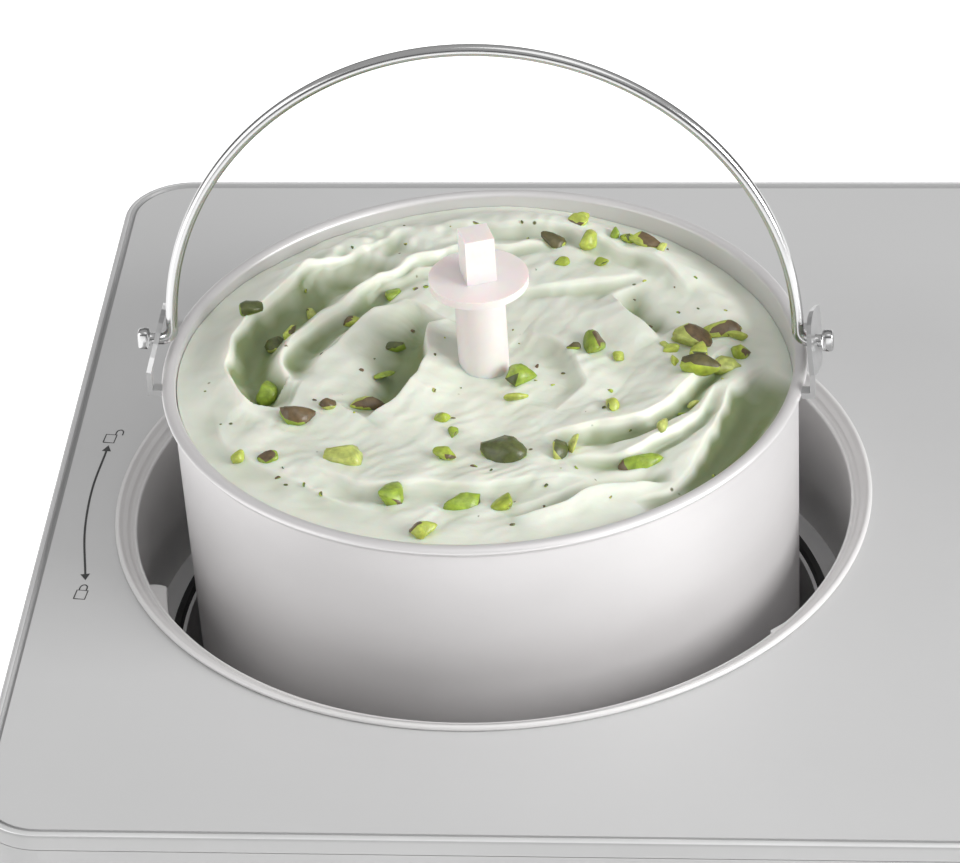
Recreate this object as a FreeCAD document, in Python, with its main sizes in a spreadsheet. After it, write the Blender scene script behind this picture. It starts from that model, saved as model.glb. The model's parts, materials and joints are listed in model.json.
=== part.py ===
"""Compressor ice cream maker: a steel-topped box with a chilled well, a lift-out bucket and a dasher.

Frame: +X to the right, +Y to the back, +Z up; origin at the centre of the footprint, under the feet.
The bucket is drawn lifted part of the way out of its well, with its bail up.
"""
import FreeCAD, Part
import Sketcher
import math
import os

Vector = FreeCAD.Vector
Rotation = FreeCAD.Rotation

doc = FreeCAD.newDocument("IceCreamMaker")
sheet = doc.addObject("Spreadsheet::Sheet", "d")

DIMENSIONS = {
    # casing
    "case_width": 425.0, "case_depth": 285.0, "corner_radius": 17.0, "case_wall": 2.0,
    "foot_height": 12.0, "plate_top": 230.0, "plate_gauge": 1.0, "trim_height": 4.6,
    # chilled well
    "well_x": -100.2, "well_y": -6.3, "collar_radius": 95.0, "collar_wall": 87.6, "ledge_depth": 40.0,
    "well_radius": 81.0, "well_gauge": 1.5, "well_depth": 124.5, "foam_radius": 104.0,
    "lug_inner": 84.0, "lug_top": 6.0, "lug_height": 6.0, "lug_sweep": 28.0,
    # bucket, as it stands lifted
    "rim_z": 272.1, "rim_radius": 79.9, "bead_radius": 1.8, "bucket_top": 77.5, "bucket_foot": 75.5,
    "bucket_depth": 110.0, "bucket_gauge": 1.2,
    "ear_radius": 81.5, "ear_gauge": 1.2, "ear_length": 31.0, "ear_height": 9.0, "ear_lean": 16.0,
    "ear_leg": 3.0, "ear_foot": 5.0, "ear_drop": 2.2,
    "pivot_rise": 4.5, "pivot_back": 2.5,
    "bail_wire": 1.5, "bail_radius": 77.4, "bail_lean": 7.8, "bail_tip": 86.2,
    # dasher and its spindle
    "post_radius": 6.25, "flange_radius": 12.3, "flange_rise": 23.4, "stub_side": 7.4, "stub_rise": 37.2,
    "stub_turn": 20.0, "spindle_radius": 5.0, "running_gap": 0.05, "blade_radius": 72.6,
    # drive
    "motor_x": -32.4, "idler_x": -62.55, "gear_bore": 2.5, "shaft_radius": 3.0,
    # compressor side
    "compressor_x": 118.0, "compressor_y": -62.0, "compressor_radius": 58.0,
    "cooler_x": 118.0, "fan_y": 60.0, "fan_side": 92.0, "fan_z": 92.0,
    # controls
    "panel_x": 122.0, "panel_y": -40.0, "panel_width": 130.0, "panel_depth": 56.0, "button_radius": 7.0,
}
for row, (alias, value) in enumerate(DIMENSIONS.items(), start=1):
    sheet.set(f"A{row}", alias)
    sheet.set(f"B{row}", str(value))
    sheet.setAlias(f"B{row}", alias)
doc.recompute()

WELL = ("d.well_x", "d.well_y")
LIE_ALONG_X = Rotation(Vector(0, 1, 0), 90)
LIE_ALONG_Y = Rotation(Vector(1, 0, 0), -90)
nodes = []


def value(alias):
    """One driving dimension, read from the sheet."""
    return float(sheet.get(alias))


def node(item, label):
    """Name a finished sub-part and list it for export."""
    item.Label = label
    nodes.append(item)
    return item


def place(item, x="0", y="0", z="0"):
    """Bind an object's position to expressions of the sheet."""
    for axis, expression in zip("xyz", (x, y, z)):
        item.setExpression(f".Placement.Base.{axis}", str(expression))
    return item


def primitive(kind, at, turn=None, **sizes):
    """A Part primitive with its sizes and position bound to the sheet."""
    item = doc.addObject(f"Part::{kind}", kind)
    if turn:
        item.Placement = FreeCAD.Placement(Vector(), turn)
    for name, expression in sizes.items():
        item.setExpression(name, str(expression))
    return place(item, *at)


def disc(x, y, z, radius, height, turn=None):
    """A cylinder that starts at z, or at its near end when it is turned."""
    return primitive("Cylinder", (x, y, z), turn, Radius=radius, Height=height)


def block(x, y, z, width, depth, height):
    """A box centred on x and y that starts at z."""
    corner = (f"{x} - ({width}) / 2", f"{y} - ({depth}) / 2", z)
    return primitive("Box", corner, Length=width, Width=depth, Height=height)


def join(*items):
    """Everything given, as one shape."""
    item = doc.addObject("Part::MultiFuse", "Join")
    item.Shapes = list(items)
    return item


def cut(base, *tools):
    """The base less every tool."""
    item = doc.addObject("Part::Cut", "Cut")
    item.Base = base
    item.Tool = tools[0] if len(tools) == 1 else join(*tools)
    return item


def origin_plane(body, role):
    """One of a body's own origin planes."""
    return next(f for f in body.Origin.OriginFeatures if f.Role == role)


def outline(body, role, points):
    """A closed sketch of straight edges whose corners are bound to the sheet."""
    sketch = body.newObject("Sketcher::SketchObject", "Outline")
    sketch.AttachmentSupport = [(origin_plane(body, role), "")]
    sketch.MapMode = "FlatFace"
    count = len(points)
    start = [Vector(100 + 10 * math.cos(math.tau * i / count), 10 * math.sin(math.tau * i / count), 0)
             for i in range(count)]
    for index in range(count):
        sketch.addGeometry(Part.LineSegment(start[index], start[(index + 1) % count]))
    for index in range(count):
        sketch.addConstraint(Sketcher.Constraint("Coincident", index, 2, (index + 1) % count, 1))
    for index, corner in enumerate(points):
        for kind, expression, begin in zip(("DistanceX", "DistanceY"), corner, (start[index].x, start[index].y)):
            number = sketch.addConstraint(Sketcher.Constraint(kind, -1, 1, index, 1, begin))
            sketch.setExpression(f"Constraints[{number}]", str(expression))
    return sketch


def turned(points, x="0", y="0", z="0"):
    """A body of revolution about its own vertical axis, from an outline of (radius, height) corners."""
    body = doc.addObject("PartDesign::Body", "Turned")
    sketch = outline(body, "XZ_Plane", points)
    revolution = body.newObject("PartDesign::Revolution", "Revolution")
    revolution.Profile = sketch
    revolution.ReferenceAxis = (sketch, ["V_Axis"])
    revolution.Angle = 360
    return place(body, x, y, z)


def rounded_slab(width, depth, radius, height, x="0", y="0", z="0"):
    """A pad of a rectangle with rounded upright edges, centred on x and y, that starts at z."""
    body = doc.addObject("PartDesign::Body", "Slab")
    half_width, half_depth = f"({width}) / 2", f"({depth}) / 2"
    corners = [(f"-{half_width}", f"-{half_depth}"), (half_width, f"-{half_depth}"),
               (half_width, half_depth), (f"-{half_width}", half_depth)]
    pad = body.newObject("PartDesign::Pad", "Pad")
    pad.Profile = outline(body, "XY_Plane", corners)
    pad.setExpression("Length", str(height))
    doc.recompute()
    upright = [f"Edge{i}" for i, edge in enumerate(pad.Shape.Edges, start=1)
               if abs(edge.tangentAt(edge.FirstParameter).z) > 0.9]
    fillet = body.newObject("PartDesign::Fillet", "Corners")
    fillet.Base = (pad, upright)
    fillet.setExpression("Radius", str(radius))
    return place(body, x, y, z)


def shaped(shape, x="0", y="0", z="0"):
    """A sub-part made straight from a shape."""
    item = doc.addObject("Part::Feature", "Shaped")
    item.Shape = shape
    return place(item, x, y, z)


# ---------------------------------------------------------------- casing

def make_casing():
    """Feet, base plate, wrap-round shell, trim frame and the flat top plate."""
    shell_top = "d.plate_top - 4"
    outer = rounded_slab("d.case_width", "d.case_depth", "d.corner_radius", f"{shell_top} - d.foot_height",
                         z="d.foot_height")
    inner = rounded_slab("d.case_width - 2 * d.case_wall", "d.case_depth - 2 * d.case_wall",
                         "d.corner_radius - d.case_wall", "d.plate_top", z="0")
    slots = []
    for level in range(9):
        height = 46 + 12 * level
        slots.append(block("d.case_width / 2", "20", height, "12", "130", "4"))
        slots.append(block("d.cooler_x", "d.case_depth / 2", height, "132", "12", "4"))
    socket = block("-150", "d.case_depth / 2", "29.8", "36.4", "12", "28.8")
    node(cut(outer, inner, socket, *slots), "housing_shell")

    floor_pan = rounded_slab("d.case_width - 2 * d.case_wall - 0.6", "d.case_depth - 2 * d.case_wall - 0.6",
                             "d.corner_radius - d.case_wall - 0.3", "1.5", z="d.foot_height")
    holes = [disc(x, y, "0", "2.1", "30") for x, y in foot_places()]
    node(cut(floor_pan, *holes), "base_plate")

    trim_outer = rounded_slab("d.case_width", "d.case_depth", "d.corner_radius", "d.trim_height",
                              z="d.plate_top - 4")
    mouth = rounded_slab("d.case_width - 5.4", "d.case_depth - 5.4", "d.corner_radius - 2.7", "6",
                         z="d.plate_top - d.plate_gauge")
    throat = rounded_slab("d.case_width - 16", "d.case_depth - 16", "d.corner_radius - 8", "12",
                          z="d.plate_top - 6")
    node(cut(trim_outer, mouth, throat), "top_trim")

    sheet_metal = rounded_slab("d.case_width - 6", "d.case_depth - 6", "d.corner_radius - 3", "d.plate_gauge",
                               z="d.plate_top - d.plate_gauge")
    well_hole = disc(*WELL, "d.plate_top - 10", "d.collar_radius - 2.8", "20")
    panel_hole = block("d.panel_x", "d.panel_y", "d.plate_top - 10", "d.panel_width - 6", "d.panel_depth - 6", "20")
    node(cut(sheet_metal, well_hole, panel_hole), "top_plate")

    feet = [turned([("2.1", "4"), ("7", "4"), ("7", "0"), ("13", "0"), ("15", "2"), ("16", "d.foot_height"),
                    ("2.1", "d.foot_height")], x, y) for x, y in foot_places()]
    node(join(*feet), "rubber_feet")
    screws = [join(disc(x, y, "4.6", "2", "14"), disc(x, y, "1.6", "4.5", "2.4")) for x, y in foot_places()]
    screws = [join(screw, disc(x, y, "3.8", "2", "1")) for screw, (x, y) in zip(screws, foot_places())]
    node(join(*screws), "foot_screws")


def foot_places():
    """The four foot centres, front left first and then anticlockwise."""
    return [(f"{sx} * (d.case_width / 2 - 34)", f"{sy} * (d.case_depth / 2 - 34)")
            for sx, sy in ((-1, -1), (1, -1), (1, 1), (-1, 1))]


# ---------------------------------------------------------------- chilled well

def make_well():
    """Moulded collar with its lid lugs, the cold cup, the refrigerant coil round it and the foam jacket."""
    wall = "d.collar_wall"
    ledge = "-d.ledge_depth"
    collar = turned([
        ("d.collar_radius - 3.7", "0"), ("d.collar_radius", "0"), ("d.collar_radius", "0.9"),
        ("d.collar_radius - 0.5", "1.5"), ("d.collar_radius - 1.5", "1.5"), ("d.collar_radius - 2.2", "0.7"),
        ("d.collar_radius - 3.6", "-0.7"), ("d.collar_radius - 4.4", "-0.9"), (f"{wall} + 2.5", "-1.9"),
        (f"{wall} + 2.1", "-2.6"), (f"{wall} + 2", "-4.2"), (f"{wall} + 0.7", "-5"), (wall, "-6"),
        (wall, ledge), (f"{wall} + 2.2", ledge), (f"{wall} + 2.2", "-6.4"), ("d.collar_radius - 3.7", "-3")],
        *WELL, "d.plate_top")
    lugs = []
    for centre in (90, 210, 330):
        ring = primitive("Cylinder", (*WELL, "d.plate_top - d.lug_top - d.lug_height"),
                         Rotation(Vector(0, 0, 1), centre - value("lug_sweep") / 2),
                         Radius=f"{wall} + 0.8", Height="d.lug_height", Angle="d.lug_sweep")
        bore = disc(*WELL, "d.plate_top - 40", "d.lug_inner", "60")
        lugs.append(cut(ring, bore))
    node(join(collar, *lugs), "well_collar")

    seal = turned([("d.well_radius + 0.9", ledge), (f"{wall} - 3", ledge), (f"{wall} - 3.6", f"{ledge} + 1.4"),
                   ("d.well_radius + 1.5", f"{ledge} + 1.4")], *WELL, "d.plate_top")
    node(seal, "well_seal")

    outside = "d.well_radius + d.well_gauge"
    cup = turned([
        ("d.well_radius", ledge), (f"{wall} + 2.4", ledge), (f"{wall} + 2.4", f"{ledge} - 1.5"),
        (outside, f"{ledge} - 1.5"), (outside, "-d.well_depth - 2"),
        ("12", "-d.well_depth - 2"), ("12", "-d.well_depth"), ("d.well_radius", "-d.well_depth")],
        *WELL, "d.plate_top")
    node(cup, "evaporator_well")

    turns = [primitive("Torus", (*WELL, f"d.plate_top - 52 - {11 * turn}"), Radius1=f"{outside} + 2.8",
                       Radius2="2.6") for turn in range(7)]
    headers = [disc(f"d.well_x + {side} * ({outside} + 3.4)", "d.well_y", "d.plate_top - 121", "3.2", "72")
               for side in (-1, 1)]
    node(join(*turns, *headers), "evaporator_coil")

    jacket = turned([
        (f"{outside} + 6.8", "-45"), ("d.foam_radius", "-45"), ("d.foam_radius", "-d.well_depth - 11"),
        ("13.5", "-d.well_depth - 11"), ("13.5", "-d.well_depth - 2.2"), (f"{outside} + 6.8", "-d.well_depth - 2.2")],
        *WELL, "d.plate_top")
    probe_place = ("d.well_x", "d.well_y + 50", "d.plate_top - d.well_depth - 8")
    pocket = disc(*probe_place, "3.1", "12")
    line_holes = [disc(f"d.well_x + {outside}", "d.well_y", z, "3.2", "40", LIE_ALONG_X) for z in ("178", "112")]
    node(cut(jacket, pocket, *line_holes), "insulation_jacket")
    node(disc(*probe_place, "3", "5.8"), "temperature_probe")


# ---------------------------------------------------------------- drive

def gear_blank(teeth, module, height, bore, phase):
    """A spur gear with involute flanks, one tooth centred on the phase angle, thinned for backlash."""
    pressure = math.radians(20)
    thinning = 0.22
    pitch = teeth * module / 2
    base = pitch * math.cos(pressure)
    tip = pitch + 0.85 * module
    root = pitch - 1.2 * module
    half_tooth = math.pi / (2 * teeth) - thinning / (2 * pitch)

    def involute(angle):
        return math.tan(angle) - angle

    def flank_angle(radius):
        return half_tooth + involute(pressure) - involute(math.acos(min(1.0, base / radius)))

    foot = max(base, root)
    radii = [foot + (tip - foot) * step / 3 for step in range(4)]
    corners = []
    for tooth in range(teeth):
        centre = phase + math.tau * tooth / teeth
        rising = [(root, centre - flank_angle(foot))] + [(r, centre - flank_angle(r)) for r in radii]
        falling = [(r, 2 * centre - angle) for r, angle in reversed(rising)]
        corners += rising + falling
    points = [Vector(r * math.cos(angle), r * math.sin(angle), 0) for r, angle in corners]
    points = [p for i, p in enumerate(points) if p.distanceToPoint(points[i - 1]) > 1e-4]
    blank = Part.Face(Part.makePolygon(points + points[:1])).extrude(Vector(0, 0, height))
    return blank.cut(Part.makeCylinder(bore, height))


def make_gear_train():
    """Motor pinion, idler and output gear on one line along X, in mesh, with their shafts."""
    pinion_teeth, wheel_teeth = 12, 48
    fine, coarse = 1.0, 1.25
    towards_well = math.pi
    pinion = gear_blank(pinion_teeth, fine, 9, value("shaft_radius"), towards_well)
    node(shaped(pinion, "d.motor_x", "d.well_y", "65"), "motor_pinion")

    half_gap = math.pi / wheel_teeth
    idler_bore = value("gear_bore") + value("running_gap")
    large = gear_blank(wheel_teeth, fine, 7, idler_bore, half_gap)
    small = gear_blank(pinion_teeth, coarse, 10, idler_bore, towards_well).translated(Vector(0, 0, 7.5))
    hub = Part.makeCylinder(5.5, 1).cut(Part.makeCylinder(idler_bore, 1)).translated(Vector(0, 0, 6.8))
    idler = large.fuse([small, hub]).removeSplitter()
    node(shaped(idler, "d.idler_x", "d.well_y", "66"), "idler_gear")
    node(disc("d.idler_x", "d.well_y", "60.5", "d.gear_bore", "27"), "idler_pin")

    output = gear_blank(wheel_teeth, coarse, 8, value("spindle_radius"), half_gap)
    node(shaped(output, *WELL, "75"), "output_gear")
    node(disc(*WELL, "59", "d.spindle_radius", "37"), "output_shaft")
    bush_bore = "d.spindle_radius + d.running_gap"
    bushes = [turned([(bush_bore, "0"), ("8", "0"), ("8", length), (bush_bore, length)], *WELL, z)
              for z, length in (("60", "6"), ("86", "6"))]
    motor_bore = "d.shaft_radius + d.running_gap"
    bushes += [turned([(motor_bore, "0"), ("6", "0"), ("6", "5"), (motor_bore, "5")], "d.motor_x", "d.well_y", z)
               for z in ("16", "59")]
    node(join(*bushes), "bronze_bushes")
    node(turned([("5.3", "0"), ("9.5", "0"), ("9.5", "1.9"), ("5.3", "1.9")], *WELL, "92.1"), "shaft_seal")

    body = disc(*WELL, "96", "11", "8.2")
    collar = turned([("5", "0"), ("8", "0"), ("11", "1.4"), ("11", "2"), ("5", "2")], *WELL, "94.2")
    socket = block(*WELL, "96", "9.4", "9.4", "20")
    node(join(cut(body, socket), collar), "drive_coupling")


def make_gearbox():
    """Gear case and cover, and the steel bridge that carries it over the motor."""
    middle = "d.well_x + 38"
    case = rounded_slab("146", "78", "12", "28", middle, "d.well_y", "60")
    hollow = rounded_slab("141", "73", "9.5", "28", middle, "d.well_y", "62.5")
    bores = [disc(*WELL, "50", "8", "20"), disc("d.motor_x", "d.well_y", "50", "6", "20"),
             disc("d.idler_x", "d.well_y", "60.5", "d.gear_bore", "20")]
    node(cut(case, hollow, *bores), "gearbox_case")
    cover = rounded_slab("146", "78", "12", "2.5", middle, "d.well_y", "88")
    node(cut(cover, disc(*WELL, "80", "8", "20")), "gearbox_cover")

    foot_plate = block(middle, "d.well_y", "14", "136", "74", "2")
    cheeks = [block(middle, f"d.well_y + {side} * 36", "14", "136", "2", "46") for side in (-1, 1)]
    bearing_seat = disc("d.motor_x", "d.well_y", "15", "6", "10")
    node(cut(join(foot_plate, *cheeks), bearing_seat), "motor_bridge")


def make_motor():
    """Shaded-pole motor under the gear case: stator, windings, rotor and shaft."""
    axis = ("d.motor_x", "d.well_y")
    stack = block(*axis, "28", "58", "60", "22")
    node(cut(stack, disc(*axis, "20", "21.6", "40")), "motor_stator")
    rings = [turned([("22.4", "0"), ("28", "0"), ("28", "5"), ("22.4", "5")], *axis, z) for z in ("22.8", "50.2")]
    node(join(*rings), "motor_windings")
    node(turned([("d.shaft_radius", "0"), ("21", "0"), ("21", "26"), ("d.shaft_radius", "26")], *axis, "26"),
         "motor_rotor")
    node(disc(*axis, "16.5", "d.shaft_radius", "58"), "motor_shaft")


# ---------------------------------------------------------------- bucket

def make_bucket():
    """Spun aluminium bucket with a rolled rim, a bushed floor, two welded ears and a wire bail."""
    gauge = "d.bucket_gauge"
    wall = turned([
        ("9", "0"), ("d.bucket_foot - 7", "0"), ("d.bucket_foot - 3", "1"), ("d.bucket_foot - 0.8", "3.4"),
        ("d.bucket_foot", "7"), ("d.bucket_top", "d.bucket_depth - d.bead_radius"),
        (f"d.bucket_top - {gauge}", "d.bucket_depth - d.bead_radius"), (f"d.bucket_foot - {gauge}", "7"),
        (f"d.bucket_foot - {gauge} - 0.8", "4.4"), (f"d.bucket_foot - {gauge} - 3", "2.2"),
        (f"d.bucket_foot - {gauge} - 6", gauge), ("9", gauge)], *WELL, "d.rim_z - d.bucket_depth")
    bead = primitive("Torus", (*WELL, "d.rim_z - d.bead_radius"), Radius1="d.rim_radius - d.bead_radius",
                     Radius2="d.bead_radius")
    node(join(wall, bead), "bucket_shell")

    floor_z = "d.rim_z - d.bucket_depth"
    bore = "d.spindle_radius + d.running_gap"
    bush = turned([(bore, "0"), ("9", "0"), ("9", gauge), ("13", gauge), ("13", "3"), ("7.5", "4"), ("7.5", "10"),
                   (bore, "10")], *WELL, floor_z)
    node(bush, "bucket_bush")

    for side, name in ((-1, "ear_left"), (1, "ear_right")):
        node(make_ear(side), name)
    node(make_bail(), "bail_handle")


def make_ear(side):
    """Almond-shaped plate that leans in over the rim, with a short welded leg at each end."""
    body = doc.addObject("PartDesign::Body", "Almond")
    stations = [step / 4 for step in range(-4, 5)]
    lower = [(f"{t} * d.ear_length / 2", f"-{1.05 - t * t} * d.ear_height / 2") for t in stations]
    upper = [(f"{t} * d.ear_length / 2", f"{1.05 - t * t} * d.ear_height / 2") for t in reversed(stations)]
    pad = body.newObject("PartDesign::Pad", "Pad")
    pad.Profile = outline(body, "YZ_Plane", lower + upper)
    pad.setExpression("Length", "d.ear_gauge")
    pad.Midplane = True
    body.Placement = FreeCAD.Placement(Vector(), Rotation(Vector(0, 1, 0), -side * value("ear_lean")))
    middle_y = "d.well_y + d.pivot_back"
    place(body, f"d.well_x + {side} * d.ear_radius", middle_y, "d.rim_z + d.pivot_rise")
    legs = []
    for end in (-1, 1):
        leg_y = f"{middle_y} + {end} * (d.ear_length / 2 - d.ear_leg / 2)"
        legs.append(block(f"d.well_x + {side} * d.ear_radius", leg_y, "d.rim_z - d.ear_drop", "d.ear_gauge",
                          "d.ear_leg", "d.pivot_rise + d.ear_drop"))
        legs.append(block(f"d.well_x + {side} * (d.ear_radius + d.ear_gauge / 2 - d.ear_foot / 2)", leg_y,
                          "d.rim_z - d.ear_drop", "d.ear_foot", "d.ear_leg", "d.ear_drop - 0.6"))
    rolled_rim = primitive("Torus", (*WELL, "d.rim_z - d.bead_radius"), Radius1="d.rim_radius - d.bead_radius",
                           Radius2="d.bead_radius + 0.02")
    pivot_hole = disc(f"d.well_x + {side} * (d.ear_radius + 10)", middle_y, "d.rim_z + d.pivot_rise",
                      "d.bail_wire + 0.1", "20", Rotation(Vector(0, 1, 0), -90 * side))
    return cut(join(body, *legs), rolled_rim, pivot_hole)


def make_bail():
    """Half-round wire handle; each end turns outward through its ear to a flattened head."""
    wire = value("bail_wire")
    radius = value("bail_radius")
    tip = value("bail_tip")
    bend = 3.0
    half_ring = Part.Arc(Vector(radius, 0, bend), Vector(0, 0, radius), Vector(-radius, 0, bend)).toShape()
    runs = [half_ring]
    for side in (-1, 1):
        centre = Vector(side * (radius + bend), 0, bend)
        middle = centre + Vector(-side * bend * math.sqrt(0.5), 0, -bend * math.sqrt(0.5))
        elbow_end = Vector(side * (radius + bend), 0, 0)
        runs.append(Part.Arc(Vector(side * radius, 0, bend), middle, elbow_end).toShape())
        runs.append(Part.LineSegment(elbow_end, Vector(side * (tip - 0.5), 0, 0)).toShape())
    path = Part.Wire(Part.__sortEdges__(runs))
    start = path.OrderedVertexes[0].Point
    section = Part.Wire(Part.makeCircle(wire, start, Vector(1, 0, 0)))
    head_length, head_depth, head_height = 2.9, 3.6, 4.8
    heads = [Part.makeBox(head_length, head_depth, head_height,
                          Vector(tip - head_length if side > 0 else -tip, -head_depth / 2, -head_height / 2))
             for side in (-1, 1)]
    bail = path.makePipeShell([section], True, False).fuse(heads)
    bail.rotate(Vector(), Vector(1, 0, 0), -value("bail_lean"))
    return shaped(bail, "d.well_x", "d.well_y + d.pivot_back", "d.rim_z + d.pivot_rise")


def make_dasher():
    """Spindle with its clip in the bucket floor, and the paddle that sits on the spindle's square head."""
    floor_z = "d.rim_z - d.bucket_depth"
    tail = block(*WELL, f"{floor_z} - 8.5", "8.6", "8.6", "6.8")
    collar = disc(*WELL, f"{floor_z} - 1.7", "7.5", "1.5")
    shank = disc(*WELL, f"{floor_z} - 0.3", "d.spindle_radius", "38")
    head = block(*WELL, f"{floor_z} + 37", "7", "7", "31")
    node(join(tail, collar, shank, head), "drive_spindle")
    node(turned([("d.spindle_radius", "0"), ("8", "0"), ("8", "1.2"), ("d.spindle_radius", "1.2")], *WELL,
                f"{floor_z} + 10.2"), "spindle_clip")

    foot = f"{floor_z} + 12"
    post = disc(*WELL, foot, "d.post_radius", f"d.rim_z + d.flange_rise - ({foot})")
    skirt = disc(*WELL, foot, "10", "8")
    flange = disc("0", "0", "d.rim_z + d.flange_rise - 0.5", "d.flange_radius", "2")
    stub = block("0", "0", "d.rim_z + d.flange_rise", "d.stub_side", "d.stub_side", "d.stub_rise - d.flange_rise")
    crown = join(flange, stub)
    crown.Placement = FreeCAD.Placement(Vector(), Rotation(Vector(0, 0, 1), value("stub_turn")))
    place(crown, *WELL)
    arms = [block("0", "0", z, "2 * d.blade_radius - 10", "7", "6") for z in (foot, f"{floor_z} + 66")]
    blades = [block(f"{side} * (d.blade_radius - 5.5)", "0", f"{floor_z} + 5.2", "10", "4", "85.4")
              for side in (-1, 1)]
    inner_blade = block("34", "0", foot, "8", "4", "60")
    frame = join(*arms, *blades, inner_blade)
    frame.Placement = FreeCAD.Placement(Vector(), Rotation(Vector(0, 0, 1), 35))
    place(frame, *WELL)
    bore = disc(*WELL, f"{floor_z} - 2", "d.spindle_radius + 0.3", "40.5")
    square = block(*WELL, f"{floor_z} + 36", "7.6", "7.6", "33")
    dasher = node(cut(join(post, skirt, crown, frame), bore, square), "dasher")

    inside = "d.bucket_foot - d.bucket_gauge - 0.6"
    filling = turned([
        ("14", "2"), (f"{inside} - 7", "2"), (f"{inside} - 1", "6"), (inside, "10"), (inside, "94"),
        (f"{inside} - 12", "99"), ("40", "101"), ("14", "103"), ("0", "104"), ("0", "13"), ("14", "13")],
        *WELL, floor_z)
    middle = [disc(*WELL, floor_z, "10.2", "21"), disc(*WELL, floor_z, "d.post_radius", "d.bucket_depth")]
    node(cut(filling, dasher, *middle), "ice_cream")


# ---------------------------------------------------------------- cooling

def tube(points, radius, bend):
    """A bent pipe along straight runs joined by tangent arcs."""
    places = [Vector(*p) for p in points]
    edges = []
    last = places[0]
    for before, corner, after in zip(places, places[1:], places[2:]):
        inward = (before - corner).normalize()
        outward = (after - corner).normalize()
        half_turn = (math.pi - inward.getAngle(outward)) / 2
        setback = bend * math.tan(half_turn)
        arc_start, arc_end = corner + inward * setback, corner + outward * setback
        bisector = (inward + outward).normalize()
        middle = corner + bisector * (bend / math.cos(half_turn) - bend)
        edges += [Part.LineSegment(last, arc_start).toShape(), Part.Arc(arc_start, middle, arc_end).toShape()]
        last = arc_end
    edges.append(Part.LineSegment(last, places[-1]).toShape())
    section = Part.Wire(Part.makeCircle(radius, places[0], places[1] - places[0]))
    return Part.Wire(edges).makePipeShell([section], True, False)


def make_compressor():
    """Hermetic compressor on its rubber-mounted foot plate."""
    x, y, radius = "d.compressor_x", "d.compressor_y", "d.compressor_radius"
    pot = turned([("0", "0"), (f"{radius} - 16", "0"), (f"{radius} - 5", "5"), (radius, "16"), (radius, "104"),
                  (f"{radius} - 4", "118"), (f"{radius} - 16", "129"), (f"{radius} - 32", "135"), ("0", "137"),
                  ("0", "134"), (f"{radius} - 33", "132"), (f"{radius} - 18", "126.5"), (f"{radius} - 7", "116"),
                  (f"{radius} - 3", "104"), (f"{radius} - 3", "16"), (f"{radius} - 7", "8"), (f"{radius} - 17", "3"),
                  ("0", "3")], x, y, "24")
    node(pot, "compressor_pot")
    node(disc(x, y, "40", f"{radius} - 18", "88"), "compressor_core")
    plate = rounded_slab("130", "92", "12", "2.4", x, y, "21.6")
    corners = [(f"{x} + {sx} * 54", f"{y} + {sy} * 36") for sx in (-1, 1) for sy in (-1, 1)]
    node(cut(plate, *[disc(cx, cy, "10", "5", "20") for cx, cy in corners]), "compressor_plate")
    grommets = [turned([("2.6", "0"), ("9", "0"), ("9", "7.5"), ("5", "7.5"), ("5", "10"), ("8", "10"), ("8", "12"),
                        ("2.6", "12")], cx, cy, "14") for cx, cy in corners]
    node(join(*grommets), "compressor_grommets")
    bolts = [join(disc(cx, cy, "14", "2.4", "12"), disc(cx, cy, "26", "5", "3")) for cx, cy in corners]
    node(join(*bolts), "compressor_bolts")


def make_condenser():
    """Finned condenser with a serpentine tube, the fan in front of it and the filter drier."""
    x, y = "d.cooler_x", "108"
    rows = [40 + 18 * row for row in range(6)]
    fins = [block(f"{x} - 62.5 + {5 * fin}", y, "30", "0.6", "26", "122") for fin in range(26)]
    channels = [disc(f"{x} - 70", y, z, "4", "140", LIE_ALONG_X) for z in rows]
    node(cut(join(*fins), *channels), "condenser_fins")
    straights = [disc(f"{x} - 66", y, z, "4", "132", LIE_ALONG_X) for z in rows]
    bends = []
    for number, z in enumerate(rows[:-1]):
        side = 1 if number % 2 == 0 else -1
        turn = Rotation(Vector(1, 0, 0), 90) * Rotation(Vector(0, 0, 1), -90 if side > 0 else 90)
        bends.append(primitive("Torus", (f"{x} + {side} * 66", y, z + 9), turn, Radius1="9", Radius2="4",
                               Angle3="180"))
    node(join(*straights, *bends), "condenser_tube")

    side = "d.fan_side"
    square = block(x, "d.fan_y + 12.5", f"d.fan_z - {side} / 2", side, "25", side)
    bore = disc(x, "d.fan_y - 5", "d.fan_z", f"{side} / 2 - 3.5", "40", LIE_ALONG_Y)
    hub = disc(x, "d.fan_y + 20", "d.fan_z", "19", "5", LIE_ALONG_Y)
    struts = [block(x, "d.fan_y + 22.5", f"d.fan_z - {side} / 2 + 2", "6", "4", f"{side} - 4"),
              block(x, "d.fan_y + 22.5", "d.fan_z - 3", f"{side} - 4", "4", "6")]
    node(join(cut(square, bore), hub, *struts), "fan_frame")
    node(make_impeller(), "fan_impeller")
    drier = primitive("Cylinder", ("26", "60", "60"), Radius="9", Height="64")
    necks = disc("26", "60", "52", "3", "80")
    node(join(drier, necks), "filter_drier")


def make_impeller():
    """Seven twisted blades on a cup-shaped hub, turning about Y."""
    hub = Part.makeCylinder(18, 16)
    blades = []
    for number in range(7):
        blade = Part.makeBox(24, 1.6, 13, Vector(16, -0.8, 1.5))
        blade.rotate(Vector(28, 0, 8), Vector(1, 0, 0), 38)
        blade.rotate(Vector(), Vector(0, 0, 1), 360 * number / 7)
        blades.append(blade)
    impeller = hub.fuse(blades).common(Part.makeCylinder(41, 16)).removeSplitter()
    impeller.rotate(Vector(), Vector(1, 0, 0), -90)
    return shaped(impeller, "d.cooler_x", "d.fan_y + 2", "d.fan_z")


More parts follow.
